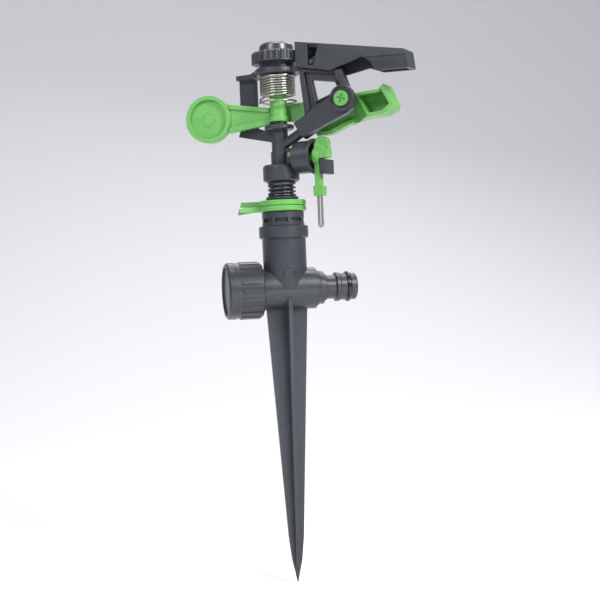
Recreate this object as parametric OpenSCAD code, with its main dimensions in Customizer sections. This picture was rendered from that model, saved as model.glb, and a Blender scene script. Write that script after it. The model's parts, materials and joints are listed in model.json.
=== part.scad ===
// Impact sprinkler on a lawn spike, with a hose plug, a blanking cap and two arc-setting collars.
// Millimetres. The origin is on the upright axis at the shoulder of the spike, where the ground is.
// +Z is up and +X runs along the tee towards the hose plug.

/* [Spike] */
// Length of the spike below the tee
spike_length = 165; // [120:1:210]
// Half the width across two fins at the shoulder
spike_half = 12.3; // [11:0.1:15]
// Half the width across two fins where the point starts
point_half = 4.6; // [3:0.1:6]
// Length of the sharp point
point_length = 28; // [15:1:40]
// Thickness of each fin
fin_t = 2.4; // [2:0.1:4]
// Height that the fins climb up the tee
fin_rise = 8; // [4:0.5:11]

/* [Tee] */
// Outer radius of the level tube
run_r = 12.5; // [11:0.1:15]
// Height of the level tube's axis
run_height = 13.2; // [12:0.1:18]
// Length of the level tube on the cap side
run_left = 15; // [14:0.5:24]
// Length of the level tube on the plug side
run_right = 17.5; // [16:0.5:26]
// Outer radius of the upright tube
branch_r = 13.1; // [12:0.1:15]
// Height of the upright tube's top edge
branch_top = 43.5; // [36:0.5:60]
// Radius of the water way through the tee
tee_bore_r = 9; // [8:0.1:9.5]
// Radius of the rim round the top of the tee
rim_r = 14.8; // [14.3:0.1:18]
// Height of the rim
rim_h = 7.5; // [6:0.1:12]

/* [Cap and thread] */
// Outer radius of the cap
cap_r = 16.6; // [16:0.1:20]
// Height of the grip ribs on the cap
cap_rib_h = 0.5; // [0.3:0.1:1]
// Number of grip ribs on the cap
cap_ribs = 20; // [12:1:28]
// Crest radius of the pipe thread
thread_r = 13.1; // [12.4:0.1:14]
// Distance between thread crests
thread_pitch = 1.814; // [1.4:0.002:2.2]
// Length of the threaded stub
thread_length = 14.6; // [12:0.1:20]
// Thickness of the cap's end wall
cap_end_t = 5; // [4:0.1:7]
// Thickness of the cap washer
cap_washer_t = 2; // [1:0.1:3]

/* [Hose plug] */
// Radius of the plug's body and nose
plug_r = 8.1; // [7.8:0.1:8.6]
// Radius of the neck that the coupling locks behind
plug_neck_r = 7.2; // [6.8:0.1:7.5]
// Radius of the ridge
plug_ridge_r = 8.8; // [8.7:0.1:9.5]
// Radius of the flange against the tee
plug_flange_r = 10.8; // [10.2:0.1:12]
// Radius of the water way
plug_bore_r = 5; // [4:0.1:5.5]
// Length of the spigot inside the tee
plug_spigot = 10; // [8:0.5:12]
// Thickness of the O-rings' section
ring_t = 2.3; // [2:0.1:2.6]

/* [Bearing] */
// Outer radius of the bearing sleeve
sleeve_r = 12.6; // [12.2:0.1:13.6]
// Height of the sleeve's skirt above the tee
sleeve_h = 8.7; // [7:0.1:14]
// Length of the sleeve's spigot inside the tee
sleeve_spigot = 6.5; // [5:0.1:10]
// Number of windows round the skirt
windows = 8; // [4:1:12]
// Outer radius of the swivel tube
swivel_r = 7; // [6.8:0.1:7.6]
// Radius of the swivel tube's water way
swivel_bore_r = 4.5; // [3.5:0.1:4.8]
// Thickness of the two bearing washers
washer_t = 1.8; // [1:0.1:3]
// Length of the bearing spring as fitted
bearing_spring_h = 9; // [6:0.1:14]
// Diameter of the bearing spring's wire
bearing_wire = 1.3; // [1:0.1:1.5]

/* [Trip collars] */
// Outer radius of a collar
collar_r = 14.1; // [13.4:0.1:16]
// Height of a collar
collar_h = 3.2; // [2.5:0.1:5]
// Reach of the finger tabs from the axis
tab_reach = 27; // [25:0.5:32]
// Direction of the lower tab
lower_tab_angle = 172; // [160:1:200]
// Direction of the upper tab
upper_tab_angle = 147; // [130:1:150]

/* [Head] */
// Direction of the nozzle at rest
head_yaw = -41.5; // [-60:0.5:0]
// Outer radius of the spring skirt
skirt_r = 10.9; // [10:0.1:13]
// Height of the spring skirt
skirt_h = 9.9; // [7:0.1:14]
// Radius of the riser's lower part
riser_low_r = 5.7; // [5.2:0.1:6.1]
// Radius of the riser's upper part
riser_r = 5; // [4.6:0.1:5.5]
// Height of the riser's lower part
riser_low_h = 7.8; // [6:0.1:12]
// Height of the riser's upper part
riser_high_h = 13.1; // [12:0.1:18]
// Radius of the seat under the arm
seat_r = 8.8; // [8:0.1:11]
// Thickness of the seat under the arm
seat_t = 2.7; // [2:0.1:4]
// Height of the bridge's opening above the seat
bridge_gap = 29.8; // [28.8:0.1:38]
// Thickness of the bridge's top bar
bridge_t = 3.6; // [3:0.1:5]
// Distance from the axis to the rear leg
rear_leg_in = 16.2; // [14.5:0.1:20]
// Width of the rear leg
rear_leg_w = 10.2; // [7:0.1:14]
// Thickness of the rear leg
rear_leg_t = 4.4; // [3:0.1:6]

/* [Nozzle] */
// Rise of the nozzle above level
nozzle_rise = 26.8; // [24:0.1:29]
// Outer radius of the nozzle's barrel
nozzle_r = 5.3; // [5:0.1:6]
// Outer radius of the tube between the riser and the barrel
neck_r = 3; // [2.9:0.1:4]
// Radius of the nozzle's water way
nozzle_bore_r = 2.4; // [1.8:0.1:2.6]
// Distance along the nozzle to the start of the barrel
barrel_start = 17.8; // [15:0.1:19]
// Distance along the nozzle to its mouth
nozzle_length = 54.3; // [54:0.1:60]
// Distance along the nozzle to the diffuser boss
boss_at = 51.9; // [49:0.1:54]
// Radius of the diffuser boss
boss_r = 7.6; // [7:0.1:9]

/* [Diffuser screw] */
// Radius of the screw's head
screw_head_r = 4.4; // [3.6:0.1:5]
// Radius of the screw's shank
screw_r = 2.2; // [1.6:0.1:2.6]
// Distance that the screw travels
screw_travel = 2.7; // [1:0.1:2.8]

/* [Splash hood] */
// Length of the hood
hood_length = 70.8; // [60:0.1:80]
// Outer width of the hood
hood_w = 12; // [11.6:0.1:15]
// Wall of the hood
hood_wall = 1.4; // [1:0.1:1.5]
// Radius of the hood's hinge pin
hood_pin_r = 1.5; // [1:0.1:2]

/* [Hammer arm] */
// Angle of the arm from the nozzle's direction at rest
arm_rest = 12; // [12:0.5:15]
// Radius of the hub tube
hub_r = 5.1; // [4.6:0.1:5.5]
// Height of the hub tube
hub_h = 26.4; // [25:0.1:27]
// Radius of the arm's axle
axle_r = 2; // [1.5:0.1:2.5]
// Distance from the axis to the counterweight ring
ring_at = 44.5; // [42:0.5:55]
// Outer radius of the counterweight ring
ring_r = 14.3; // [12:0.1:16]
// Width of the counterweight ring's rim
ring_rim = 2.4; // [2:0.1:5]
// Thickness of the counterweight ring
ring_w = 5.8; // [4:0.1:7]
// Depth of the spoon that catches the jet
spoon_depth = 13; // [10:0.5:14]

/* [Springs] */
// Mean radius of the arm spring
arm_spring_r = 10.2; // [9.9:0.1:10.6]
// Diameter of the arm spring's wire
arm_wire = 1.4; // [1:0.05:1.5]
// Number of close turns in the arm spring
arm_turns = 7; // [4:1:9]

/* [Trip] */
// Radius of the trip housing's drum
drum_r = 9.6; // [8.5:0.1:10]
// Length of the trip housing's drum
drum_length = 11.3; // [8:0.1:12]
// Wall of the trip housing
drum_wall = 1.6; // [1:0.1:2.5]
// Radius of the trip lever's shaft
lever_shaft_r = 2; // [1.5:0.1:2.5]
// Diameter of the trip wire
wire_d = 1.4; // [0.9:0.1:1.4]
// Length of the trip wire below its socket
wire_length = 18.6; // [14:0.1:20]

/* [Knob] */
// Outer radius of the knob's grip
knob_r = 14.6; // [13:0.1:15]
// Height of the knob's grip
knob_grip_h = 7; // [5:0.1:9]
// Height of the knob's crown above the grip
knob_crown_h = 5.6; // [4:0.1:8]
// Height of the knob's foot under the grip
knob_foot_h = 2.5; // [1:0.1:4]
// Number of ribs on the knob
knob_ribs = 24; // [14:1:30]

/* [Clearances] */
// Radial clearance of a turning fit
run_clear = 0.05; // [0.02:0.01:0.1]
// Radial clearance of a fixed fit
fixed_clear = 0.05; // [0.02:0.01:0.1]
// Gap between pieces that pass each other
free_clear = 0.3; // [0.3:0.05:0.5]

/* [Hidden] */
$fn = 64;
cut = 0.5;              // how far a cut runs past a face
dark_grey = "#4b5056";
black = "#1b1c1e";
green = "#6fc25a";
steel = "#b9bcc0";

// Heights up the axis, each stacked on the one below
z_rim_top = branch_top + rim_h;
z_sleeve_foot = z_rim_top - sleeve_spigot;
z_collars = z_rim_top + sleeve_h;
z_neck_top = z_collars + 2 * collar_h + 0.2;
z_washer = z_neck_top + free_clear;
z_spring = z_washer + washer_t;
z_skirt = z_spring + bearing_spring_h + fixed_clear;
z_riser = z_skirt + skirt_h;
z_riser_step = z_riser + riser_low_h;
z_seat = z_riser_step + riser_high_h;
z_seat_top = z_seat + seat_t;
z_bridge = z_seat_top + bridge_gap;
z_bridge_top = z_bridge + bridge_t;
z_knob = z_bridge_top + free_clear;
z_grip = z_knob + knob_foot_h;
z_leg = z_grip - 3.9;                     // height of the hood's root

// Bearing
neck_wall_r = 11.2;                       // radius that the collars turn on
sleeve_bore_r = swivel_r + run_clear;
spigot_r = sleeve_r - 2;
flange_r = tee_bore_r - free_clear;
thin_washer_t = 1;
flange_t = 2;

// Hose plug, measured along the tee from its end
plug_x = run_right;
flange_end = 2.2;
step_end = 4.9;
shoulder_end = 6.7;
neck_end = 12.4;
ridge_end = 15.4;
groove_start = 19.2;
groove_end = groove_start + ring_t;
plug_end = 25.5;
groove_r = plug_r + 0.55 - ring_t;
plug_spigot_r = tee_bore_r + 0.25;

// Cap, measured along the tee away from the plug
cap_mouth = run_left + free_clear;
stub_end = run_left + thread_length;
washer_x = stub_end + fixed_clear;
cap_floor = washer_x + cap_washer_t + fixed_clear;
cap_end = cap_floor + cap_end_t;
cap_bore_r = thread_r + free_clear;

// Head plane: x runs outwards along the nozzle, y is to the left of it and z is up
z_jet = z_seat - 10.4;                    // height where the nozzle's axis crosses the riser
boss_x = boss_at * cos(nozzle_rise);
boss_z = z_jet + boss_at * sin(nozzle_rise);
boss_front = -8.6;
body_front = -7.2;
boss_back = -5.2;
head_in = 7.6;                            // underside of the screw's head from the plane
screw_ring_t = 1.1;
insert_length = 5;
insert_at = boss_at - screw_r - 1 - insert_length;
insert_r = nozzle_bore_r + 0.9;
plate_front = -1.6;
plate_back = 0.2;
rib_front = -3.6;
top_bar_half = 4.2;
rear_leg_front = -0.6;
rear_leg_out = rear_leg_in + rear_leg_w;
knob_stub_r = 6;
knob_stub_h = knob_foot_h + 2.5;

// Hood
hood_x = knob_r + cap_rib_h + 0.9;
hood_low = z_leg;
hood_high = z_grip + knob_grip_h + 3.7;
hinge_x = hood_x + 10.2;
hinge_z = z_leg + 1.9;
scoop_z = z_leg - 0.1;                    // height of the step along the hood's end
scoop_r = 28;
hood_end = hood_x + hood_length;
hood_in = hood_w / 2 - hood_wall;

// Arm
arm_washer_gap = 2.2;
z_arm = z_seat_top + arm_washer_gap;
z_hub_top = z_arm + hub_h;
ring_z = z_arm + 4.8;
arm_bar_half = 2.1;
web_in = 3.4;
web_out = 5.6;
spoon_x = 44;
spoon_bend = 10;

// Trip
drum_z = z_seat - 7.9 - drum_r;
drum_x = riser_low_r + 6.3;
drum_end = drum_x + drum_length;
lever_x = drum_end + 0.4;
wire_gap = 2.2;
wire_x = lever_x + 1.8;
socket_low = drum_z - 23.4;
socket_high = drum_z - 18.6;
lug_half = 2;
pin_x = riser_low_r + 3.2;
pin_z = drum_z + 2.2;
pin_r = 1.5;

function on_circle(r, a) = [r * cos(a), r * sin(a)];

// A flat outline in the x-z plane, thickened from y0 to y1
module slab(points, y0, y1)
    translate([0, y1, 0]) rotate([90, 0, 0]) linear_extrude(height = y1 - y0) polygon(points);

// A round ring section or disc about the upright axis
module ring(r_in, r_out, z0, z1)
    rotate_extrude() translate([r_in, z0]) square([r_out - r_in, z1 - z0]);

module o_ring(r_out, t)
    rotate_extrude() translate([r_out - t / 2, 0]) circle(d = t, $fn = 24);

// Children drawn about +Z are laid along the tee, x away from the axis
module along_tee(x) translate([x, 0, run_height]) rotate([0, 90, 0]) children();

// Children drawn about +Z are laid along the y axis
module across(x, y, z) translate([x, y, z]) rotate([-90, 0, 0]) children();

// Children drawn about +Z run along the nozzle's axis
module along_nozzle() translate([0, 0, z_jet]) rotate([0, 90 - nozzle_rise, 0]) children();

module head() rotate([0, 0, head_yaw]) children();
module arm() rotate([0, 0, head_yaw + arm_rest]) children();

// Coil of round wire about the upright axis. stations is a list of [turns, radius, height].
function coil_at(stations, t, i = 0) =
    i >= len(stations) - 2 || t <= stations[i + 1][0]
        ? let (a = stations[i], b = stations[i + 1], f = (t - a[0]) / (b[0] - a[0]))
            [a[1] + (b[1] - a[1]) * f, a[2] + (b[2] - a[2]) * f]
        : coil_at(stations, t, i + 1);

module coil(stations, wire, steps = 20, sides = 6) {
    turns = stations[len(stations) - 1][0];
    count = ceil(turns * steps);
    points = [for (k = [0:count]) let (t = turns * k / count, c = coil_at(stations, t))
        for (s = [0:sides - 1]) let (q = 360 * s / sides, r = c[0] + wire / 2 * cos(q))
            [r * cos(360 * t), r * sin(360 * t), c[1] + wire / 2 * sin(q)]];
    walls = [for (k = [0:count - 1], s = [0:sides - 1])
        [k * sides + s, k * sides + (s + 1) % sides, (k + 1) * sides + (s + 1) % sides, (k + 1) * sides + s]];
    start = [for (s = [0:sides - 1]) sides - 1 - s];
    finish = [for (s = [0:sides - 1]) count * sides + s];
    polyhedron(points, concat([start, finish], walls));
}

// ---- Base ----

module fin_outline()
    polygon([[-spike_half, fin_rise], [spike_half, fin_rise], [spike_half, 0],
        [point_half, point_length - spike_length], [point_half * 0.66, point_length / 2 - spike_length],
        [0, -spike_length], [-point_half * 0.66, point_length / 2 - spike_length],
        [-point_half, point_length - spike_length], [-spike_half, 0]]);

module fins() {
    tip = 12;
    difference() {
        for (turn = [0, 90])
            rotate([90, 0, turn]) linear_extrude(height = fin_t, center = true) fin_outline();
        rotate_extrude() polygon([[0.2, -spike_length - cut], [0.2, -spike_length],
            [point_half * 0.62, tip - spike_length],
            [point_half + 1, tip - spike_length], [point_half + 1, -spike_length - cut]]);
    }
}

module thread_stub() {
    crests = floor((thread_length - 2) / thread_pitch);
    root_r = thread_r - 1.2;
    zigzag = [for (i = [0:crests - 1]) let (s = 1 + i * thread_pitch)
        each [[root_r, s], [thread_r, s + thread_pitch * 0.4],
            [thread_r, s + thread_pitch * 0.5], [root_r, s + thread_pitch * 0.9]]];
    along_tee(-run_left) mirror([0, 0, 1])
        rotate_extrude() polygon(concat([[0, 0], [root_r, 0]], zigzag,
            [[root_r, thread_length], [0, thread_length]]));
}

module tee_shell() {
    along_tee(-run_left) cylinder(r = run_r, h = run_left + run_right);
    translate([0, 0, run_height]) cylinder(r = branch_r, h = branch_top - run_height + cut);
    rotate_extrude() polygon([[0, branch_top], [rim_r - 0.8, branch_top], [rim_r, branch_top + 0.8],
        [rim_r, z_rim_top - 0.8], [rim_r - 0.8, z_rim_top], [0, z_rim_top]]);
    thread_stub();
    fins();
    across(0, -branch_r - 0.3, run_height + 10) ring(3, 3.6, 0, 3);
}

module tee_and_spike() {
    color(dark_grey) difference() {
        tee_shell();
        along_tee(-stub_end - cut) cylinder(r = tee_bore_r, h = stub_end + run_right + 2 * cut);
        along_tee(run_right - plug_spigot) cylinder(r = plug_spigot_r + fixed_clear, h = plug_spigot + cut);
        translate([0, 0, run_height]) cylinder(r = tee_bore_r, h = z_rim_top);
        translate([0, 0, z_sleeve_foot]) cylinder(r = spigot_r + fixed_clear, h = sleeve_spigot + cut);
    }
}

module hose_plug() {
    seal_at = -plug_spigot / 2;
    seal_r = plug_spigot_r - ring_t * 0.8;
    color(dark_grey) along_tee(plug_x) rotate_extrude() polygon([
        [plug_bore_r, -plug_spigot], [plug_spigot_r, -plug_spigot],
        [plug_spigot_r, seal_at - ring_t / 2], [seal_r, seal_at - ring_t / 2],
        [seal_r, seal_at + ring_t / 2], [plug_spigot_r, seal_at + ring_t / 2],
        [plug_spigot_r, 0], [plug_flange_r, 0], [plug_flange_r, flange_end - 0.5],
        [plug_flange_r - 0.5, flange_end], [plug_flange_r - 0.8, flange_end],
        [plug_flange_r - 0.8, step_end], [plug_r, step_end], [plug_r, shoulder_end],
        [plug_neck_r, shoulder_end], [plug_neck_r, neck_end], [plug_ridge_r, neck_end + 0.4],
        [plug_ridge_r, ridge_end - 0.6], [plug_r, ridge_end], [plug_r, groove_start],
        [groove_r, groove_start], [groove_r, groove_end], [plug_r, groove_end],
        [plug_r, plug_end - 0.8], [plug_r - 0.8, plug_end], [plug_bore_r, plug_end]]);
}

module plug_o_ring()
    color(black) along_tee(plug_x + (groove_start + groove_end) / 2)
        ring_section(groove_r, plug_r + 0.55, ring_t);

module spigot_o_ring()
    color(black) along_tee(plug_x - plug_spigot / 2)
        ring_section(plug_spigot_r - ring_t * 0.8, plug_spigot_r, ring_t);

// O-ring pressed into its groove: flat sides, rounded outside
module ring_section(r_in, r_out, w)
    rotate_extrude() difference() {
        translate([r_in, -w / 2]) square([r_out - r_in, w]);
        for (side = [-1, 1])
            translate([r_out - 0.4, side * w / 2]) rotate(side * 45) square([2, 0.6], center = true);
    }

module window_cuts() {
    step = 360 / windows;
    for (i = [0:windows - 1])
        rotate([0, 0, i * step + step / 4])
            rotate_extrude(angle = step * 0.78)
                translate([sleeve_r - 1.8, z_rim_top + 2.2]) square([1.8 + cut, 2.4]);
}

module bearing_sleeve() {
    color(dark_grey) difference() {
        rotate_extrude() polygon([[sleeve_bore_r, z_sleeve_foot], [spigot_r, z_sleeve_foot],
            [spigot_r, z_rim_top + fixed_clear], [sleeve_r, z_rim_top + fixed_clear],
                [sleeve_r, z_collars - 0.5],
            [sleeve_r - 0.4, z_collars - free_clear], [neck_wall_r, z_collars - free_clear],
            [neck_wall_r, z_neck_top - 0.5], [neck_wall_r - 0.5, z_neck_top], [sleeve_bore_r, z_neck_top]]);
        window_cuts();
        translate([0, 0, z_sleeve_foot + 2.4]) ring(spigot_r - 1.4, spigot_r + 1, 0, 1.8);
    }
}

module sleeve_o_ring()
    color(black) translate([0, 0, z_sleeve_foot + 2.4]) ring(spigot_r - 1.4, spigot_r, 0.02, 1.78);

// ---- Cap ----

module end_cap() {
    length = cap_end - cap_mouth;
    rib_length = length * 0.55;
    color(dark_grey) along_tee(-cap_mouth) mirror([0, 0, 1]) {
        difference() {
            union() {
                rotate_extrude() polygon([[0, 0], [cap_r - 0.8, 0], [cap_r, 0.8], [cap_r, length - 5.4],
                    [cap_r + 0.3, length - 5], [cap_r + 0.3, length - 1.2], [cap_r - 0.9, length],
                        [0, length]]);
                for (i = [0:cap_ribs - 1])
                    rotate([0, 0, i * 360 / cap_ribs]) translate([cap_r - 0.6, -1.2, 1.6])
                        cube([0.6 + cap_rib_h, 2.4, rib_length]);
            }
            translate([0, 0, -cut]) cylinder(r = cap_bore_r, h = cap_floor - cap_mouth + cut);
            translate([0, 0, length - 1.2]) cylinder(r = cap_r - 2.2, h = 1.2 + cut);
        }
    }
}

module cap_washer()
    color(black) along_tee(-washer_x) mirror([0, 0, 1])
        ring(tee_bore_r - 2, cap_bore_r - free_clear, 0, cap_washer_t);

// ---- Arc-setting collars ----

// rise is how far the tab's end lifts or drops from the collar
module trip_collar(z0, angle, rise) {
    color(green) rotate([0, 0, angle]) difference() {
        union() {
            rotate_extrude() polygon([[neck_wall_r + run_clear, z0], [collar_r - 0.5, z0],
                [collar_r, z0 + 0.5], [collar_r, z0 + collar_h - 0.5], [collar_r - 0.5, z0 + collar_h],
                [neck_wall_r + run_clear, z0 + collar_h]]);
            slab([[neck_wall_r + 1, z0], [collar_r + 2, z0], [tab_reach - 3, z0 + rise],
                [tab_reach, z0 + rise * 1.4], [tab_reach - 1, z0 + collar_h + rise * 0.9],
                [tab_reach - 3.4, z0 + collar_h + rise * 0.6], [collar_r + 2, z0 + collar_h],
                [neck_wall_r + 1, z0 + collar_h]], -1.9, 1.9);
            for (side = [-1, 1])
                translate([tab_reach - 7.5, 0, z0 + 0.4 + rise * 0.6]) rotate([0, 0, side * 16])
                    translate([0, side * 0.8 - 0.8, 0]) cube([7, 1.6, collar_h - 0.8]);
        }
        translate([0, 0, z0 - 2]) cylinder(r = neck_wall_r + run_clear, h = collar_h + 4);
    }
}

module lower_trip_collar() trip_collar(z_collars, lower_tab_angle, -1);
module upper_trip_collar() trip_collar(z_collars + collar_h + 0.15, upper_tab_angle, 0.35);

// ---- Swivel ----

module swivel_tube() {
    foot = z_sleeve_foot - thin_washer_t - flange_t;
    socket_r = riser_low_r + fixed_clear;
    color(black) rotate_extrude() polygon([[swivel_bore_r, foot], [flange_r, foot],
        [flange_r, foot + flange_t], [swivel_r, foot + flange_t], [swivel_r, z_riser],
        [socket_r, z_riser], [socket_r, z_skirt], [swivel_bore_r, z_skirt]]);
}

module lower_bearing_washer()
    color("white") ring(swivel_r + fixed_clear, flange_r, z_sleeve_foot - thin_washer_t + 0.02,
        z_sleeve_foot - 0.1);

module upper_bearing_washer()
    color(dark_grey) rotate_extrude() polygon([[swivel_r + fixed_clear, z_washer], [9.4, z_washer],
        [9.8, z_washer + 0.4], [9.8, z_spring - 0.4], [9.4, z_spring], [swivel_r + fixed_clear, z_spring]]);

module bearing_spring() {
    half = bearing_wire / 2;
    low = z_spring + half + 0.05;
    high = z_skirt - half - 0.1;
    r = swivel_r + 0.2 + half;
    color(steel) coil([[0, r, low], [1, r, low + 0.1], [4, r, high - 0.1], [5, r, high]], bearing_wire);
}

module spring_skirt()
    color(dark_grey) rotate_extrude() polygon([[swivel_r + fixed_clear, z_skirt], [skirt_r - 0.9, z_skirt],
        [skirt_r, z_skirt + 0.9], [skirt_r, z_riser - 1.4], [skirt_r - 0.8, z_riser],
        [swivel_r + fixed_clear, z_riser]]);

// ---- Bridge: riser, legs, top bar, nozzle ----

module riser() {
    translate([0, 0, z_skirt + fixed_clear])
        cylinder(r = riser_low_r, h = z_riser_step - z_skirt - fixed_clear);
    translate([0, 0, z_riser_step - cut]) cylinder(r = riser_r, h = riser_high_h + 2 * cut);
    rotate_extrude() polygon([[0, z_seat], [seat_r - 0.6, z_seat], [seat_r, z_seat + 0.6],
        [seat_r, z_seat_top - 0.4], [seat_r - 0.4, z_seat_top], [0, z_seat_top]]);
}

module rear_leg()
    slab([[-riser_r + 1.5, z_seat - 7.2], [-rear_leg_out - 2, z_seat - 1.6], [-rear_leg_out, z_seat + 3.4],
        [-rear_leg_out, z_bridge_top - 1.4], [-rear_leg_in, z_bridge_top - 1.4],
            [-rear_leg_in, z_seat + 2.8],
        [-seat_r, z_seat + 0.4], [-riser_r + 1.5, z_seat + 0.4]],
        rear_leg_front, rear_leg_front + rear_leg_t);

module top_bar() {
    slab([[-rear_leg_out, z_bridge - 0.6], [-rear_leg_in + 1, z_bridge - 0.6],
        [-rear_leg_in + 2.6, z_bridge],
        [hood_x + 1.2, z_bridge], [hood_x + 1.2, z_bridge_top], [-rear_leg_in + 3, z_bridge_top],
        [-rear_leg_in, z_bridge_top - 1.4],
            [-rear_leg_out, z_bridge_top - 1.4]], -top_bar_half, top_bar_half);
    rotate_extrude() polygon([[0, z_bridge], [12.6, z_bridge], [13.4, z_bridge + 0.8],
        [13.4, z_bridge_top - 0.6],
        [12.8, z_bridge_top], [0, z_bridge_top]]);
    translate([0, 0, z_bridge_top - cut]) cylinder(r = knob_stub_r, h = knob_stub_h + cut);
}

// Front leg, the plate with the window in it, and the strut from the boss to the hood
function window_outline(d) = [[24.5 - d, z_leg - 8.4 + d], [39.8 + d, z_leg - 11.2 + d],
    [41.8 + d, z_leg - 14.9 - d * 0.3],
    [39.4 + d * 0.5, z_leg - 17 - d], [27.2 - d, z_leg - 20.8 - d]];

module front_leg() {
    x_top = hood_x + 0.2;
    slab([[x_top, z_leg + 3.6], [x_top + 3.2, z_leg + 3.6], [x_top + 6.6, z_leg - 26],
        [x_top + 3.4, z_leg - 28]], rib_front, plate_back);
    difference() {
        union() {
            slab([[x_top, z_leg + 3.6], [hinge_x - 4, hinge_z + 3.4], [hinge_x + 4, hinge_z + 3.4],
                [boss_x - 1.6, z_leg - 4.4], [boss_x + 2.4, boss_z + 6.4], [boss_x + 2, boss_z],
                [boss_x - 20, boss_z - 12], [x_top + 4, z_leg - 32]], plate_front, plate_back);
            slab(window_outline(1), rib_front + 0.6, plate_front);
        }
        slab(window_outline(0), rib_front - cut, plate_back + cut);
    }
    slab([[x_top + 3, z_leg - 1], [boss_x - 7, z_leg - 5], [boss_x - 6.6, z_leg - 6.6],
        [x_top + 3.2, z_leg - 3]],
        rib_front, plate_front);
    slab([[boss_x - 7, z_leg - 4.4], [boss_x - 1.6, z_leg - 4.4], [boss_x + 2.4, boss_z + 6.4],
        [boss_x + 3.4, boss_z + 3], [boss_x - 4, boss_z + 3],
            [boss_x - 1.2, boss_z + 7]], rib_front - 0.7, plate_back);
}

// Round barrel inside a flat-fronted body that widens towards the diffuser boss
module barrel() {
    along_nozzle() {
        cylinder(r = neck_r, h = barrel_start + cut);
        translate([0, 0, barrel_start]) cylinder(r = nozzle_r, h = nozzle_length - barrel_start - 1);
        translate([0, 0, nozzle_length - 1 - 0.01]) cylinder(r1 = nozzle_r, r2 = nozzle_r - 0.8, h = 1.01);
    }
    along_nozzle() slab([[0.4 - nozzle_r, barrel_start + 0.1], [nozzle_r - 0.6, barrel_start + 1.1],
        [boss_r + 1.1, boss_at - 1.4], [boss_r + 0.4, boss_at + 2.6], [boss_r - 3.3, boss_at + 6.1],
        [0, boss_at + 6.5], [1.1 - boss_r, boss_at],
            [-nozzle_r - 0.3, boss_at - 5.6]], body_front, boss_back + 2);
    across(boss_x, boss_front, boss_z) cylinder(r = boss_r, h = boss_back - boss_front);
}

module bridge() {
    screw_seat = head_in - screw_travel - screw_ring_t - 0.1 - free_clear;
    color(dark_grey) head() difference() {
        union() {
            riser();
            rear_leg();
            top_bar();
            front_leg();
            barrel();
            translate([riser_r - 2, -lug_half, pin_z - 5])
                cube([pin_x + 2.4 - riser_r + 2, 2 * lug_half, 9]);
        }
        translate([0, 0, z_skirt - cut]) cylinder(r = neck_r, h = z_jet - z_skirt + cut + 1);
        along_nozzle() cylinder(r = nozzle_bore_r, h = nozzle_length + cut);
        along_nozzle() translate([0, 0, insert_at])
            cylinder(r = insert_r + fixed_clear, h = nozzle_length - insert_at + cut);
        across(boss_x, boss_front - cut, boss_z) cylinder(r = boss_r - 1, h = 0.8 + cut);
        translate([0, 0, z_seat - 4]) cylinder(r = axle_r + fixed_clear, h = z_bridge_top + knob_stub_h);
        across(boss_x, boss_front - cut, boss_z)
            cylinder(r = screw_head_r + free_clear, h = -boss_front - screw_seat + cut);
        across(boss_x, -screw_seat - cut, boss_z) cylinder(r = screw_r + run_clear, h = screw_seat + cut);
        across(hinge_x, rib_front - cut, hinge_z) cylinder(r = hood_pin_r + fixed_clear, h = 6);
        across(pin_x, -lug_half - cut, pin_z) cylinder(r = pin_r + fixed_clear, h = 2 * lug_half + 2 * cut);
    }
}

module nozzle_insert()
    color(black) head() along_nozzle() translate([0, 0, insert_at + 0.05])
        ring(nozzle_bore_r - 0.4, insert_r, 0, insert_length - 0.3);

module arm_axle()
    color(steel) head() translate([0, 0, z_seat - 3.8]) cylinder(r = axle_r, h = z_bridge_top - z_seat + 8);

module arm_washer()
    color(black) head() ring(axle_r + run_clear, hub_r - 0.2, z_seat_top + 0.02, z_seat_top + 1.8);

module arm_spring() {
    low = z_arm + 11.6;
    close_low = low + 3.6;
    close_high = close_low + arm_turns * (arm_wire + 0.05);
    high = z_bridge - arm_wire / 2 - 0.2;
    color(steel) head() rotate([0, 0, -150])
        coil([[0, arm_spring_r + 0.9, low], [0.9, arm_spring_r + 0.8, low + 0.5],
            [1.4, arm_spring_r, close_low],
            [1.4 + arm_turns, arm_spring_r, close_high], [1.9 + arm_turns, arm_spring_r + 0.5, high - 0.5],
            [2.6 + arm_turns, arm_spring_r + 0.6, high]], arm_wire, 24);
}

// ---- Knob ----

module tension_knob() {
    crown_r = knob_r - 4.6;
    z_shoulder = z_grip + knob_grip_h;
    body_r = knob_r - 0.7;
    color(dark_grey) head() difference() {
        union() {
            rotate_extrude() polygon([[0, z_knob], [10.4, z_knob], [10.4, z_grip], [body_r - 0.6, z_grip],
                [knob_r + 0.5, z_grip + 0.5], [knob_r + 0.5, z_grip + 1.3], [body_r, z_grip + 1.7],
                [body_r, z_shoulder - 0.8], [body_r - 1, z_shoulder], [crown_r + 0.6, z_shoulder + 0.6],
                [crown_r, z_shoulder + knob_crown_h - 1.6],
                    [crown_r - 1.6, z_shoulder + knob_crown_h - 0.3],
                [crown_r - 2.4, z_shoulder + knob_crown_h - 0.3],
                    [crown_r - 2.8, z_shoulder + knob_crown_h - 0.9],
                [0, z_shoulder + knob_crown_h - 0.9]]);
            for (i = [0:knob_ribs - 1])
                rotate([0, 0, i * 360 / knob_ribs]) translate([body_r - 0.2, 0, z_grip + 0.8]) {
                    cylinder(r = 1.25, h = knob_grip_h - 1.4, $fn = 16);
                    translate([0, 0, knob_grip_h - 1.41]) cylinder(r1 = 1.25, r2 = 0.5, h = 0.7, $fn = 16);
                }
        }
        translate([0, 0, z_knob - cut]) cylinder(r = knob_stub_r + run_clear, h = knob_stub_h + cut + 0.4);
    }
}

// ---- Splash hood ----

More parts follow.
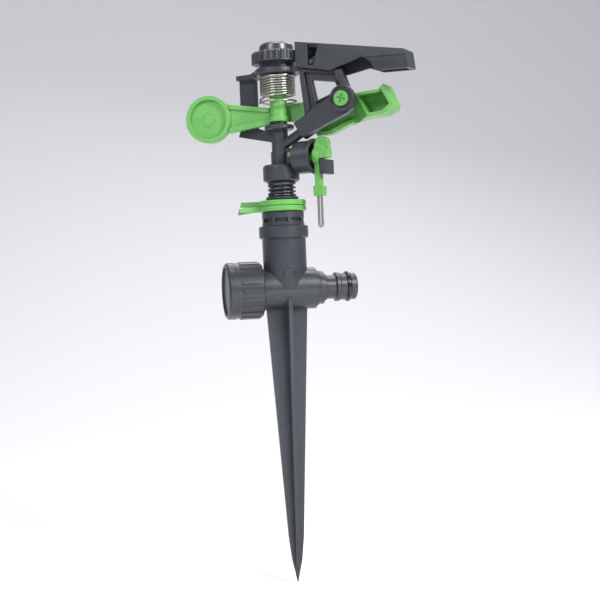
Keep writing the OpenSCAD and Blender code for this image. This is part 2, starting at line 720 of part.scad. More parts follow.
module hood_side()
    polygon([[hood_x, hood_high], [hood_end - 2, hood_high - 13.1], [hood_end - 1.2, hood_high - 14.2],
        [hood_end, hood_high - 23.2], [hood_end - 0.8, hood_high - 23.6], [hood_x + 51.5, hood_high - 22.8],
        [hood_x + 42.8, hood_low - 4.8], [hood_x + 28.2, hood_low - 7], [hood_x + 23.5, hood_low - 5.1],
        [hood_x, hood_low]]);

module hood_notch()
    polygon([[hood_x + 23, hood_low - 5.2], [hood_x + 23.4, hood_low - 4.6],
        [hood_x + 42.6, hood_low + 0.6],
        [hood_x + 48.1, hood_low - 2.8], [hood_x + 50.2, hood_low - 8.8], [hood_x + 50.2, hood_low - 13],
        [hood_x + 23, hood_low - 13]]);

module hood_upright(y0, y1) translate([0, y1, 0]) rotate([90, 0, 0]) linear_extrude(height = y1 - y0)
    children();

// What the rounded scoop at the hood's end takes off its front corner, for an outside or inside radius
module scoop_corner(r) translate([hood_x + 42, 0, scoop_z]) rotate([0, 3, 0]) difference() {
    translate([0, -hood_w / 2 - cut, -16]) cube([34, hood_w / 2 + cut, 16]);
    translate([-cut, scoop_r - hood_w / 2 + 0.6, 0]) rotate([0, 90, 0]) cylinder(r = r, h = 36, $fn = 128);
}

module splash_hood() {
    half = hood_w / 2;
    color(dark_grey) head() difference() {
        hood_upright(-half, half) hood_side();
        scoop_corner(scoop_r);
        difference() {
            hood_upright(-hood_in, hood_in)
                polygon([[hood_x - cut, hood_high - 2], [hood_end - 3.6, hood_high - 15.3],
                    [hood_end - 1.4, hood_high - 26], [hood_x - cut, hood_high - 26]]);
            scoop_corner(scoop_r - hood_wall);
        }
        hood_upright(-half - cut, 0) hood_notch();
        across(hinge_x, -half - cut, hinge_z) cylinder(r = hood_pin_r + run_clear, h = hood_w + 2 * cut);
        hood_upright(-half - cut, -hood_in + 0.1) polygon([[hinge_x - 2, hinge_z - 2],
            [hinge_x + 1.6, hinge_z - 2.2],
            [hinge_x + 5, hood_high - 3.9], [hinge_x - 2.1, hood_high - 2.5]]);
    }
}

module hood_pin()
    color(dark_grey) head() across(hinge_x, -hood_w / 2 + 0.2, hinge_z)
        cylinder(r = hood_pin_r, h = hood_w - 0.4);

// ---- Hammer arm ----

module arm_left() {
    top_in = ring_z + 2.4;
    low_in = ring_z - 5.2;
    near = ring_at - ring_r + 1;
    root = -hub_r - 0.1;
    slab([[root, low_in], [-near, ring_z - 8.6], [-near, ring_z + 6.4], [root, top_in]], -1, 1);
    slab([[root, top_in + 1.4], [-near, ring_z + 8], [-near, ring_z + 5.2], [root, top_in - 1.2]],
        -arm_bar_half, arm_bar_half);
    slab([[root, low_in - 0.7], [-near, ring_z - 9.2], [-near, ring_z - 6], [root, low_in + 2.2]],
        -arm_bar_half, arm_bar_half);
}

module counterweight() {
    disc_r = ring_r - ring_rim;
    difference() {
        across(-ring_at, -ring_w / 2, ring_z) cylinder(r = ring_r, h = ring_w);
        for (side = [-1, 1])
            across(-ring_at, side * (ring_w / 2 + 1) - ring_w / 2, ring_z) cylinder(r = disc_r, h = ring_w);
    }
    across(-ring_at, -1.2, ring_z) ring(3.8, 4.3, 0, 2.4);
}

module arm_right() {
    z0 = z_arm;
    slab([[0, z0 + 0.2], [7, z0 + 0.2], [14, z0 - 2.6], [24, z0 - 10], [32, z0 - 9.2], [41, z0 - 5],
        [spoon_x + 2, z0 - 3.4],
        [spoon_x + 2, z0 + 11.8], [34, z0 + 11.2], [18, z0 + 11.4], [0, z0 + 10]], web_in, web_out);
    slab([[23.5, z0 - 10], [32.4, z0 - 9.6], [42.8, z0 - 4.9], [spoon_x + 2, z0 - 3.8],
        [spoon_x + 2, z0 - 1.6],
        [40.5, z0 - 3.4], [31.4, z0 - 7.4], [24, z0 - 7.6]], -0.8, web_out);
}

// The spoon's side view, x from its root
function spoon_outline() = [[0, -4.6], [10.5, -2.4], [23.5, -1.9], [29.4, 0.6], [30.8, 3.2], [25.4, 15.2],
    [22.4, 12.6],
    [10, 11.9], [0, 11.9]];

// The pocket's front edge on the hub side leans, and the spoon slopes away from it to the web
module spoon() {
    wall = 2;
    translate([spoon_x, web_out, z_arm]) rotate([0, 0, -spoon_bend]) difference() {
        slab(spoon_outline(), -spoon_depth, 0);
        slab([[15.2, -0.2], [24, 0.2], [28.6, 3.8], [23.9, 12.6], [22, 10.9],
            [9.2, 10.4]], -spoon_depth - cut, -wall);
        translate([11.2, -spoon_depth, 5.2]) rotate([0, -28, 0]) translate([0, 0, -18])
            linear_extrude(height = 36)
            polygon([[-24, -1], [0, -1], [0, 0], [-7.4, spoon_depth - 3.6], [-9.4, spoon_depth - 1.8],
                [-24, spoon_depth - 1.8]]);
    }
}

module hammer_arm() {
    color(green) arm() difference() {
        union() {
            translate([0, 0, z_arm]) cylinder(r = hub_r + 0.8, h = 3.4);
            translate([0, 0, z_arm]) cylinder(r = hub_r, h = hub_h);
            arm_left();
            counterweight();
            arm_right();
            spoon();
        }
        translate([0, 0, z_arm - cut]) cylinder(r = axle_r + run_clear, h = hub_h + 2 * cut);
    }
}

module spring_sleeve() {
    low = z_arm + 16.2;
    color(green) arm() rotate_extrude() polygon([[hub_r + fixed_clear, low], [7.4, low], [8.6, low + 1.2],
        [8.6, z_hub_top - 0.6], [8, z_hub_top], [hub_r + fixed_clear, z_hub_top]]);
}

// ---- Trip ----

module trip_housing() {
    cheek_out = lug_half + 1.7;
    color(dark_grey) head() difference() {
        union() {
            translate([drum_x, 0, drum_z]) rotate([0, 90, 0]) cylinder(r = drum_r, h = drum_length);
            translate([drum_end - 0.8, 0, drum_z]) rotate([0, 90, 0]) cylinder(r = drum_r + 0.9, h = 0.8);
            for (side = [-1, 1])
                translate([pin_x - 3, side > 0 ? lug_half + 0.05 : -cheek_out, pin_z - 5.4])
                    cube([drum_x - pin_x + 4, cheek_out - lug_half - 0.05, 8.6]);
            translate([drum_end - 2, 5.7, drum_z - 7.8]) cube([10, 1.6, 5.4]);
            translate([drum_end + 4.7, -3.4, drum_z - 10.8]) cube([3.8, 10.7, 8.4]);
        }
        translate([drum_x + drum_wall, 0, drum_z]) rotate([0, 90, 0])
            cylinder(r = drum_r - drum_wall, h = drum_length);
        translate([drum_x - cut, 0, drum_z]) rotate([0, 90, 0])
            cylinder(r = lever_shaft_r + run_clear, h = drum_wall + 2 * cut);
        across(pin_x, -cheek_out - cut, pin_z)
            cylinder(r = pin_r + fixed_clear, h = 2 * cheek_out + 2 * cut);
    }
}

module housing_pin()
    color(green) head() across(pin_x, -4.6, pin_z) cylinder(r = pin_r, h = 9.2);

module toggle_spring() {
    r = lever_shaft_r + 1.2;
    color(steel) head() translate([drum_x + drum_wall + 1, 0, drum_z]) rotate([0, 90, 0])
        coil([[0, r, 0], [4, r, 5]], 0.8, 16);
}

module trip_lever() {
    top = drum_z + 11.2;
    color(green) head() difference() {
        union() {
            translate([drum_x - 0.4, 0, drum_z]) rotate([0, 90, 0])
                cylinder(r = lever_shaft_r, h = lever_x - drum_x + 1);
            translate([lever_x, 0, drum_z]) rotate([0, 90, 0]) cylinder(r = 5, h = 3.4);
            across(lever_x + 5, -1.8, top - 4.2) cylinder(r = 4.2, h = 4.4);
            slab([[lever_x + 0.8, drum_z + 1], [lever_x + 0.8, top - 4.2], [lever_x + 9.2, top - 4.2],
                [lever_x + 9.2, drum_z + 1]], -1.6, 2.4);
            slab([[lever_x + 0.2, drum_z + 1], [lever_x + 1.4, drum_z + 7.4], [lever_x + 3.4, drum_z + 6.4],
                [lever_x + 9.6, drum_z + 3], [lever_x + 9.6, drum_z - 1.4], [lever_x + 4, drum_z - 1.6],
                [lever_x + 2, drum_z - 0.8]], -3.4, 2.4);
            slab([[lever_x, drum_z], [lever_x + 3.4, drum_z], [lever_x + 3.6, socket_high],
                [lever_x + 0.2, socket_high]], -2.2, 2.2);
            slab([[lever_x - 1, socket_high + 0.6], [lever_x + 0.2, socket_high + 1.6],
                [lever_x + 3.6, socket_high + 1.6], [lever_x + 5.4, socket_high + 0.6],
                [lever_x + 5, socket_low], [lever_x - 0.6, socket_low]], -2.6, 2.6);
        }
        for (side = [0, 1])
            translate([wire_x + side * wire_gap - wire_gap * 0.4, 0, socket_low - cut])
                cylinder(d = wire_d + 2 * fixed_clear, h = 5);
    }
}

module trip_wire() {
    u_r = wire_gap / 2;
    u_z = socket_low - wire_length + u_r + wire_d / 2;
    centre = wire_x + wire_gap * 0.1;
    color(steel) head() {
        for (side = [-1, 1])
            translate([centre + side * u_r, 0, u_z]) {
                cylinder(d = wire_d, h = socket_low + 4 - u_z);
                sphere(d = wire_d);
            }
        translate([centre, 0, u_z]) rotate([-90, 0, 0])
            rotate_extrude(angle = 180) translate([u_r, 0]) circle(d = wire_d);
    }
}

// ---- Diffuser screw ----

module diffuser_screw() {
    color(green) head() across(boss_x, 0, boss_z) difference() {
        union() {
            translate([0, 0, -head_in - 1.8]) cylinder(r = screw_head_r, h = 1.8);
            translate([0, 0, -head_in - 0.01]) cylinder(r = screw_r, h = head_in - 2.8);
        }
        for (turn = [0, 90])
            rotate([0, 0, turn + 20]) translate([-2.6, -0.45, -head_in - 1.8 - cut])
                cube([5.2, 0.9, 0.8 + cut]);
    }
}

module diffuser_o_ring()
    color(black) head() across(boss_x, -head_in + screw_ring_t / 2 + 0.05, boss_z)
        o_ring(screw_r + fixed_clear + screw_ring_t, screw_ring_t);

tee_and_spike();
hose_plug();
plug_o_ring();
spigot_o_ring();
bearing_sleeve();
sleeve_o_ring();
end_cap();
cap_washer();
lower_trip_collar();
upper_trip_collar();
swivel_tube();
lower_bearing_washer();
upper_bearing_washer();
bearing_spring();
spring_skirt();
bridge();
nozzle_insert();
arm_axle();
arm_washer();
arm_spring();
tension_knob();
splash_hood();
hood_pin();
hammer_arm();
spring_sleeve();
trip_housing();
housing_pin();
toggle_spring();
trip_lever();
trip_wire();
diffuser_screw();
diffuser_o_ring();
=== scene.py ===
"""Impact sprinkler on a lawn spike: the visible pieces, built round the fixed CAD frame."""

import json
import math

import bmesh
import bpy
from mathutils import Matrix, Vector


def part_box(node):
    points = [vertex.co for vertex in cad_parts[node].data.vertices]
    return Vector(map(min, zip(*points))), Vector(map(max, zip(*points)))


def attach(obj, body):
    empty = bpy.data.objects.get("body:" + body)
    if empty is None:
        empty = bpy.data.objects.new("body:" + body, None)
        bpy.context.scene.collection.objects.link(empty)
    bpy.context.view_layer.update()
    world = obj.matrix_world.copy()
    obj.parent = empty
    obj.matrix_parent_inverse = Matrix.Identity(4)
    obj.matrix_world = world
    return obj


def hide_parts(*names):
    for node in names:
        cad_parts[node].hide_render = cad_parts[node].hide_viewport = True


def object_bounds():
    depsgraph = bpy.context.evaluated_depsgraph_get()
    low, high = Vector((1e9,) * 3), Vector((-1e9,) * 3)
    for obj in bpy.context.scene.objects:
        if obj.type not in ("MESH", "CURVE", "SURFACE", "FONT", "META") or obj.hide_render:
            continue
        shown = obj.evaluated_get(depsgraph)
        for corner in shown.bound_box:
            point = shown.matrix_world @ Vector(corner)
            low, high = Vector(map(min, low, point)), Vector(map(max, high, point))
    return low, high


bl_info = {
    "name": "Impact sprinkler",
    "version": (1, 0, 0),
    "blender": (4, 5, 0),
    "location": "3D View > Sidebar > Sprinkler",
    "description": "Builds the pieces, finishes and stage of an impact sprinkler on a spike",
    "category": "Object",
}

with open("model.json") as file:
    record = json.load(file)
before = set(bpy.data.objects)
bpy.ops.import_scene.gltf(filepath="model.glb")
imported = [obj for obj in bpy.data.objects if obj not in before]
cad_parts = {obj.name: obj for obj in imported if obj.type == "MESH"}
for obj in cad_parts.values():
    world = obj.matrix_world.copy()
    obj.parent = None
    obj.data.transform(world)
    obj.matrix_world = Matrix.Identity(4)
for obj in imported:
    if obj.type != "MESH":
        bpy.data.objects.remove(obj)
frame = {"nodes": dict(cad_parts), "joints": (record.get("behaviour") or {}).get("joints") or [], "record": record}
CAD_LOW, CAD_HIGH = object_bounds()
MM = 0.001  # every size in the scene is in metres
UP = Vector((0, 0, 1))

# Shading: edges sharper than this many degrees stay crisp.
CRISP_MOULDING = 32
CRISP_WIRE = 60

# The colour sockets of a Mix node: its two inputs and its result.
MIX_A, MIX_B, MIX_RESULT = 6, 7, 2


def linear(code):
    """Linear colour of an sRGB hex code."""
    parts = [int(code[i : i + 2], 16) / 255 for i in (0, 2, 4)]
    return tuple(c / 12.92 if c <= 0.04045 else ((c + 0.055) / 1.055) ** 2.4 for c in parts)


def joint(name):
    """The record's joint of that name."""
    return next(j for j in frame["joints"] if j["name"] == name)


def middle(node):
    """Centre of a CAD node's box, in metres."""
    low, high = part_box(node)
    return (Vector(low) + Vector(high)) / 2


def head_yaw():
    """How far the head is turned from the tee at rest, taken from the trip lever's own axis."""
    axis = joint("trip_flip")["axis"]
    return math.atan2(axis[1], axis[0])


HEAD_YAW = head_yaw()


# ---- Sizes and colours that a user may change ----


class SprinklerSizes(bpy.types.PropertyGroup):
    """Sizes of the finishing work, in metres."""

    edge_radius: bpy.props.FloatProperty(
        name="Edge radius",
        description="Rounding along the edges of the mouldings",
        default=0.5 * MM,
        unit="LENGTH",
    )
    arm_wire: bpy.props.FloatProperty(
        name="Arm spring wire",
        description="Diameter of the arm spring's wire",
        default=1.15 * MM,
        unit="LENGTH",
    )
    bearing_wire: bpy.props.FloatProperty(
        name="Bearing spring wire",
        description="Diameter of the bearing spring's wire",
        default=1.3 * MM,
        unit="LENGTH",
    )
    hairpin_wire: bpy.props.FloatProperty(
        name="Trip wire",
        description="Diameter of the trip wire",
        default=1.4 * MM,
        unit="LENGTH",
    )
    arm_turns: bpy.props.IntProperty(
        name="Arm spring turns",
        description="Close turns in the arm spring",
        default=7,
        min=4,
        max=9,
    )


class SprinklerColours(bpy.types.PropertyGroup):
    """Colours of the finishes."""

    grey: bpy.props.FloatVectorProperty(
        name="Dark grey",
        description="Colour of the dark grey mouldings",
        subtype="COLOR",
        default=linear("2f3239"),
    )
    grey_shade: bpy.props.FloatVectorProperty(
        name="Dark grey, shaded",
        description="Darker end of the dark grey's variation",
        subtype="COLOR",
        default=linear("25272c"),
    )
    green: bpy.props.FloatVectorProperty(
        name="Green",
        description="Colour of the green mouldings",
        subtype="COLOR",
        default=linear("66a653"),
    )
    green_shade: bpy.props.FloatVectorProperty(
        name="Green, shaded",
        description="Darker end of the green's variation",
        subtype="COLOR",
        default=linear("519043"),
    )
    steel: bpy.props.FloatVectorProperty(
        name="Steel",
        description="Colour of the spring wire",
        subtype="COLOR",
        default=linear("9c9892"),
    )
    rubber: bpy.props.FloatVectorProperty(
        name="Rubber",
        description="Colour of the O-rings",
        subtype="COLOR",
        default=linear("0e0e10"),
    )
    floor: bpy.props.FloatVectorProperty(
        name="Floor",
        description="Colour of the floor and backdrop",
        subtype="COLOR",
        default=linear("ebeaee"),
    )


def sizes():
    """The scene's own sizes."""
    return bpy.context.scene.sprinkler_sizes


def colours():
    """The scene's own colours."""
    return bpy.context.scene.sprinkler_colours


# ---- Materials ----


def add(tree, kind, inputs=None, **settings):
    """Adds one shader node with its settings, its values and the links into it."""
    made = tree.nodes.new(kind)
    for key, value in settings.items():
        setattr(made, key, value)
    for key, value in (inputs or {}).items():
        if isinstance(value, bpy.types.NodeSocket):
            tree.links.new(value, made.inputs[key])
        else:
            made.inputs[key].default_value = value
    return made


def grains(size):
    """Noise scale for a pattern whose grains are size metres across."""
    return 1 / size


def material(name, build):
    """The material of that name, built once."""
    found = bpy.data.materials.get(name)
    if found:
        return found
    made = bpy.data.materials.new(name)
    made.use_nodes = True
    tree = made.node_tree
    tree.nodes.clear()
    surface = build(tree)
    out = tree.nodes.new("ShaderNodeOutputMaterial")
    tree.links.new(surface.outputs[0], out.inputs["Surface"])
    return made


def mottled(tree, dark, light, grain):
    """Colour that drifts between two values over grains of that size."""
    place = add(tree, "ShaderNodeTexCoord").outputs["Object"]
    drift = add(
        tree, "ShaderNodeTexNoise", {"Vector": place, "Scale": grains(grain), "Detail": 3.0}
    )
    mix = add(
        tree,
        "ShaderNodeMix",
        {"Factor": drift.outputs[0], MIX_A: (*dark, 1), MIX_B: (*light, 1)},
        data_type="RGBA",
    )
    return place, mix.outputs[MIX_RESULT]


def moulded(tree, dark, light, roughness, texture, depth, subsurface=0.0, coat=0.0):
    """Injection-moulded plastic: a faint mould texture, gloss that wanders, rounded edges.

    The colour drifts over 14 mm, as the melt flowed, and the gloss over 6 mm, as it cooled.
    A real mould texture is about 0.1 mm across: texture is coarser, so that it shows.
    """
    place, colour = mottled(tree, dark, light, 14 * MM)
    fine = add(
        tree, "ShaderNodeTexNoise", {"Vector": place, "Scale": grains(texture), "Detail": 4.0}
    )
    cloud = add(
        tree, "ShaderNodeTexNoise", {"Vector": place, "Scale": grains(6 * MM), "Detail": 2.0}
    )
    gloss = add(
        tree,
        "ShaderNodeMapRange",
        {
            "Value": cloud.outputs[0],
            "From Min": 0.3,
            "From Max": 0.7,
            "To Min": roughness - 0.05,
            "To Max": roughness + 0.07,
        },
    )
    edge = add(tree, "ShaderNodeBevel", {"Radius": sizes().edge_radius}, samples=4)
    skin = add(
        tree,
        "ShaderNodeBump",
        {"Height": fine.outputs[0], "Strength": 0.35, "Distance": depth, "Normal": edge.outputs[0]},
    )
    return add(
        tree,
        "ShaderNodeBsdfPrincipled",
        {
            "Base Color": colour,
            "Roughness": gloss.outputs[0],
            "Normal": skin.outputs[0],
            "IOR": 1.5,
            "Subsurface Weight": subsurface,
            "Subsurface Radius": (0.5, 1.0, 0.4),
            "Subsurface Scale": 1.5 * MM,
            "Coat Weight": coat,
            "Coat Roughness": 0.2,
        },
    )


def grey_plastic():
    """Glass-filled ABS, moulded: dark blue-grey, satin, with broad soft highlights."""
    c = colours()
    return material(
        "moulded_dark_abs",
        lambda tree: moulded(tree, c.grey_shade, c.grey, 0.36, 0.5 * MM, 0.03 * MM, coat=0.15),
    )


def black_plastic():
    """Acetal, moulded: near black and a little waxy."""
    dark, light = linear("0c0d0e"), linear("161719")
    return material(
        "moulded_black_acetal",
        lambda tree: moulded(tree, dark, light, 0.4, 0.5 * MM, 0.02 * MM),
    )


def white_plastic():
    """Natural acetal, turned: milky white."""
    dark, light = linear("d6d3c8"), linear("e6e3da")
    return material(
        "natural_acetal",
        lambda tree: moulded(tree, dark, light, 0.42, 0.5 * MM, 0.02 * MM),
    )


def green_plastic():
    """Polypropylene, moulded: bright green, slightly translucent, waxy gloss."""
    c = colours()
    return material(
        "moulded_green_polypropylene",
        lambda tree: moulded(
            tree,
            c.green_shade,
            c.green,
            0.34,
            0.7 * MM,
            0.02 * MM,
            subsurface=0.12,
            coat=0.1,
        ),
    )


def drawn_steel(tree, tint):
    """Drawn wire: its gloss comes and goes every 0.8 mm or so, where the die has marked it."""
    place = add(tree, "ShaderNodeTexCoord").outputs["Object"]
    marks = add(
        tree, "ShaderNodeTexNoise", {"Vector": place, "Scale": grains(0.8 * MM), "Detail": 3.0}
    )
    gloss = add(
        tree,
        "ShaderNodeMapRange",
        {"Value": marks.outputs[0], "To Min": 0.24, "To Max": 0.42},
    )
    skin = add(
        tree,
        "ShaderNodeBump",
        {"Height": marks.outputs[0], "Strength": 0.2, "Distance": 0.02 * MM},
    )
    return add(
        tree,
        "ShaderNodeBsdfPrincipled",
        {
            "Base Color": (*tint, 1),
            "Metallic": 1.0,
            "Roughness": gloss.outputs[0],
            "Normal": skin.outputs[0],
        },
    )


def steel():
    """Stainless spring wire, drawn: bright, with faint die marks."""
    return material("drawn_stainless_wire", lambda tree: drawn_steel(tree, colours().steel))


def dark_steel():
    """Spring wire drawn in a dark tint: dark, with a thin glint along each turn."""
    return material("dark_spring_wire", lambda tree: drawn_steel(tree, linear("55565a")))


def moulded_rubber(tree):
    """Rubber with a fine skin and an oily sheen; its lighter patches are 1.8 times as bright."""
    dark = colours().rubber
    place, colour = mottled(tree, dark, [value * 1.8 for value in dark], 3 * MM)
    fine = add(
        tree, "ShaderNodeTexNoise", {"Vector": place, "Scale": grains(0.6 * MM), "Detail": 2.0}
    )
    skin = add(
        tree,
        "ShaderNodeBump",
        {"Height": fine.outputs[0], "Strength": 0.2, "Distance": 0.03 * MM},
    )
    return add(
        tree,
        "ShaderNodeBsdfPrincipled",
        {"Base Color": colour, "Roughness": 0.22, "Normal": skin.outputs[0], "IOR": 1.52},
    )


def rubber():
    """Nitrile rubber, greased: black and glossy."""
    return material("greased_nitrile", moulded_rubber)


FINISHES = {
    "dark_plastic": grey_plastic,
    "black_plastic": black_plastic,
    "white_plastic": white_plastic,
    "green_plastic": green_plastic,
    "spring_steel": steel,
    "black_rubber": rubber,
}


def slot_of(node):
    """The record's material slot of a CAD node."""
    rows = frame["record"]["subparts"]
    return next(row["material_slot"] for row in rows if row["node"] == node)


def body_of(node):
    """The body that a CAD node rides on."""
    bodies = frame["record"]["behaviour"]["bodies"]
    return next(body for body, nodes in bodies.items() if node in nodes)


# ---- Mesh helpers ----


def smooth(mesh, degrees=CRISP_MOULDING):
    """Shades faces smooth, with creases at edges sharper than that."""
    for face in mesh.polygons:
        face.use_smooth = True
    mesh.set_sharp_from_angle(angle=math.radians(degrees))


def piece(bm, node, finish=None):
    """Makes the bmesh a finished piece that stands for a CAD node and rides with its body."""
    mesh = bpy.data.meshes.new(f"{node}_skin")
    bm.to_mesh(mesh)
    bm.free()
    smooth(mesh, CRISP_WIRE)
    made = bpy.data.objects.new(mesh.name, mesh)
    bpy.context.scene.collection.objects.link(made)
    slot = slot_of(node)
    mesh.materials.append((finish or FINISHES[slot])())
    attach(made, body_of(node))
    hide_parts(node)
    return made


def wire(path, side, radius, sides=12):
    """Round wire along a path that keeps square to the side direction, as a bmesh."""
    bm = bmesh.new()
    bmesh.ops.create_circle(bm, cap_ends=True, radius=radius, segments=sides)
    spots = []
    for i, point in enumerate(path):
        along = (path[min(i + 1, len(path) - 1)] - path[max(i - 1, 0)]).normalized()
        across = side.cross(along).normalized()
        turn = Matrix((across, along.cross(across), along)).transposed().to_4x4()
        spots.append(Matrix.Translation(point) @ turn)
    bmesh.ops.transform(bm, matrix=spots[0], verts=bm.verts)
    end = bm.faces[:]
    for before, after in zip(spots, spots[1:]):
        grown = bmesh.ops.extrude_face_region(bm, geom=end)["geom"]
        end = [g for g in grown if isinstance(g, bmesh.types.BMFace)]
        corners = [g for g in grown if isinstance(g, bmesh.types.BMVert)]
        bmesh.ops.transform(bm, matrix=after @ before.inverted(), verts=corners)
    bmesh.ops.recalc_face_normals(bm, faces=bm.faces)
    return bm


def coil(stations, start, steps=28):
    """Path of a coil round the upright axis, from its stations.

    A station is a turn, a radius and a height, these two in millimetres. A stretch of less
    than 1.2 turns, from an end to the winding, eases in and out.
    """
    path = []
    for (turn_a, r_a, z_a), (turn_b, r_b, z_b) in zip(stations, stations[1:]):
        count = max(2, round((turn_b - turn_a) * steps))
        for i in range(count):
            part = i / count
            eased = part * part * (3 - 2 * part) if turn_b - turn_a < 1.2 else part
            angle = start + 2 * math.pi * (turn_a + (turn_b - turn_a) * part)
            reach = (r_a + (r_b - r_a) * eased) * MM
            height = (z_a + (z_b - z_a) * eased) * MM
            path.append(Vector((reach * math.cos(angle), reach * math.sin(angle), height)))
    return path


def torus(node, axis, proud=0.0, steps=72):
    """An O-ring as wide as its CAD node's box, on an axis of unit length, as a bmesh."""
    low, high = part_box(node)
    size = Vector(high) - Vector(low)
    thick = abs(size.dot(Vector(axis)))
    outer = max(size) / 2 + proud
    bm = bmesh.new()
    made = bmesh.ops.create_circle(bm, radius=thick / 2 + proud / 2, segments=20)["verts"]
    bmesh.ops.rotate(bm, verts=made, matrix=Matrix.Rotation(math.pi / 2, 3, "X"), cent=(0, 0, 0))
    bmesh.ops.translate(bm, verts=made, vec=(outer - thick / 2 - proud / 2, 0, 0))
    bmesh.ops.spin(
        bm,
        geom=bm.edges[:],
        cent=(0, 0, 0),
        axis=(0, 0, 1),
        angle=2 * math.pi,
        steps=steps,
        use_merge=True,
    )
    bmesh.ops.recalc_face_normals(bm, faces=bm.faces)
    turn = Vector(axis).to_track_quat("Z", "Y").to_matrix().to_4x4()
    bmesh.ops.transform(bm, matrix=Matrix.Translation(middle(node)) @ turn, verts=bm.verts)
    return bm


def dress(node):
    """Gives a CAD node that keeps its own mesh its finish."""
    shown = frame["nodes"][node]
    shown.data.materials.clear()
    shown.data.materials.append(FINISHES[slot_of(node)]())
    smooth(shown.data)


def wind_arm_spring():
    """The torsion spring: close turns between a wider foot and a wider top turn.

    Its stations are in millimetres, up from the foot of its CAD box and down from the top.
    """
    thick, turns = sizes().arm_wire, sizes().arm_turns
    low, high = (corner.z / MM for corner in map(Vector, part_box("arm_spring")))
    r = thick / 2 / MM
    foot_reach, reach, shoulder_reach, top_reach = 10.9, 10.1, 10.6, 10.7
    pitch, foot_rise, foot_height, top_drop = 1.45, 0.5, 4.2, 0.6
    foot_turns, wound_at = 0.8, 1.4
    close = low + r + foot_height
    stations = (
        (0, foot_reach, low + r),
        (foot_turns, foot_reach, low + r + foot_rise),
        (wound_at, reach, close),
        (wound_at + turns, reach, close + turns * pitch),
        (1.9 + turns, shoulder_reach, high - r - top_drop),
        (2.7 + turns, top_reach, high - r),
    )
    start = HEAD_YAW - math.radians(150)
    piece(wire(coil(stations, start), UP, thick / 2), "arm_spring")


def wind_bearing_spring():
    """The compression spring under the swivel: three open turns between two flat ones."""
    thick = sizes().bearing_wire
    low, high = (corner.z / MM for corner in map(Vector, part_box("bearing_spring")))
    r = thick / 2 / MM
    reach, end_rise = 7.85, 0.1
    stations = (
        (0, reach, low + r),
        (1, reach, low + r + end_rise),
        (4, reach, high - r - end_rise),
        (5, reach, high - r),
    )
    piece(wire(coil(stations, 0.4), UP, thick / 2), "bearing_spring", finish=dark_steel)


def bend_trip_wire():
    """The hairpin: two legs with a half-round bend between them at the foot."""
    heart = middle("trip_wire")
    low, high = (corner.z for corner in map(Vector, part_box("trip_wire")))
    radius, bend, steps = sizes().hairpin_wire / 2, 1.1 * MM, 12
    turn_z = low + radius + bend
    out = Vector((math.cos(HEAD_YAW), math.sin(HEAD_YAW), 0))
    level = Vector((heart.x, heart.y, 0))
    leg = (high, (high + turn_z) / 2, turn_z)
    path = [level - out * bend + Vector((0, 0, z)) for z in leg]
    for i in range(1, steps):
        angle = math.pi * i / steps
        across = level - out * bend * math.cos(angle)
        path.append(across + Vector((0, 0, turn_z - bend * math.sin(angle))))
    path += [level + out * bend + Vector((0, 0, z)) for z in reversed(leg)]
    piece(wire(path, out.cross(UP), radius, 16), "trip_wire")


# ---- Operators ----


class SPRINKLER_OT_mouldings(bpy.types.Operator):
    """Finishes the mouldings that come straight from the CAD"""

    bl_idname = "sprinkler.mouldings"
    bl_label = "Mouldings"

    def execute(self, context):
        for node in frame["nodes"]:
            dress(node)
        return {"FINISHED"}


class SPRINKLER_OT_springs(bpy.types.Operator):
    """Winds the arm spring and the bearing spring"""

    bl_idname = "sprinkler.springs"
    bl_label = "Springs"

    def execute(self, context):
        wind_arm_spring()
        wind_bearing_spring()
        return {"FINISHED"}


class SPRINKLER_OT_trip_wire(bpy.types.Operator):
    """Bends the hairpin that hangs from the trip lever"""

    bl_idname = "sprinkler.trip_wire"
    bl_label = "Trip wire"

    def execute(self, context):
        bend_trip_wire()
        return {"FINISHED"}


class SPRINKLER_OT_rings(bpy.types.Operator):
    """Rolls the O-rings"""

    bl_idname = "sprinkler.rings"
    bl_label = "O-rings"

    def execute(self, context):
        piece(torus("plug_o_ring", (1, 0, 0), proud=0.6 * MM), "plug_o_ring")
        return {"FINISHED"}


class SPRINKLER_OT_stage(bpy.types.Operator):
    """Adds the floor, the backdrop, the lights and the camera"""

    bl_idname = "sprinkler.stage"
    bl_label = "Stage"

    def execute(self, context):
        add_backdrop()
        add_lights()
        add_camera()
        return {"FINISHED"}


def matt_paper(tree):
    """Seamless studio paper: pale and matt, with fibres drawn 2 mm across so that they show."""
    place = add(tree, "ShaderNodeTexCoord").outputs["Object"]
    fibre = add(
        tree, "ShaderNodeTexNoise", {"Vector": place, "Scale": grains(2 * MM), "Detail": 4.0}
    )
    skin = add(
        tree,
        "ShaderNodeBump",
        {"Height": fibre.outputs[0], "Strength": 0.1, "Distance": 0.1 * MM},
    )
    return add(
        tree,
        "ShaderNodeBsdfPrincipled",
        {"Base Color": (*colours().floor, 1), "Roughness": 0.85, "Normal": skin.outputs[0]},
    )


